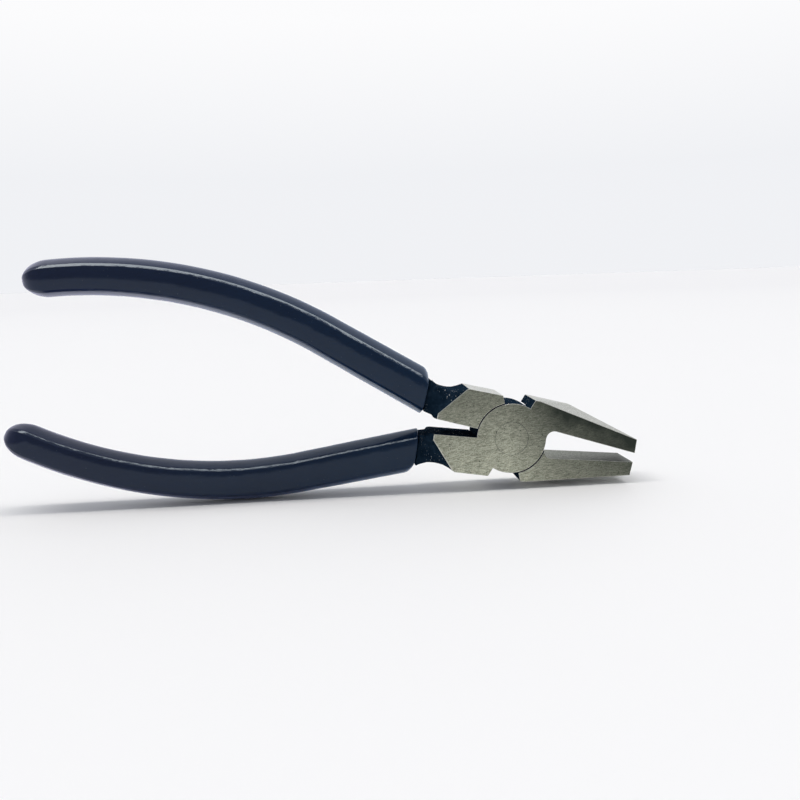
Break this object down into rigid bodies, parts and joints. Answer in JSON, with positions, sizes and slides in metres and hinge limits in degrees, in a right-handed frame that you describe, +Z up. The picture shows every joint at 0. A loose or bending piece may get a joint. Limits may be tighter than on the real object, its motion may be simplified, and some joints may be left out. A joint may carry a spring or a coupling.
{
  "type": "glass breaking pliers",
  "caption": "Flat-jawed glass breaking pliers: a riveted lap joint, plain jaws that meet at their tips, and slip-on handle grips.",
  "frame": {"origin": "middle of the bounding box, on the plane that the lower grip's bulge and the lower jaw's crown rest on", "axes": "+X along the pliers towards the jaws, +Y along the pivot axis away from the front disc, +Z up"},
  "size_m": [0.2028, 0.0148, 0.0792],
  "materials": {
    "ground_steel": "ground side faces and jaw backs with a fine grain, black oxide on the forged necks, shoulders and disc rims",
    "rivet_steel": "ground flush with the head, fine grain",
    "grip_vinyl": "glossy blue-black vinyl"
  },
  "bodies": {
    "front_half": {"front_lever": "ground_steel", "pivot_rivet": "rivet_steel", "lower_grip": "grip_vinyl"},
    "rear_half": {"rear_lever": "ground_steel", "upper_grip": "grip_vinyl"}
  },
  "joints": [
    {"name": "jaw_hinge", "type": "hinge", "parent": "front_half", "child": "rear_half", "pos_m": [0.05953, 0, 0.0169], "axis": [0, 1, 0], "range_deg": [-4, 43.5]}
  ]
}
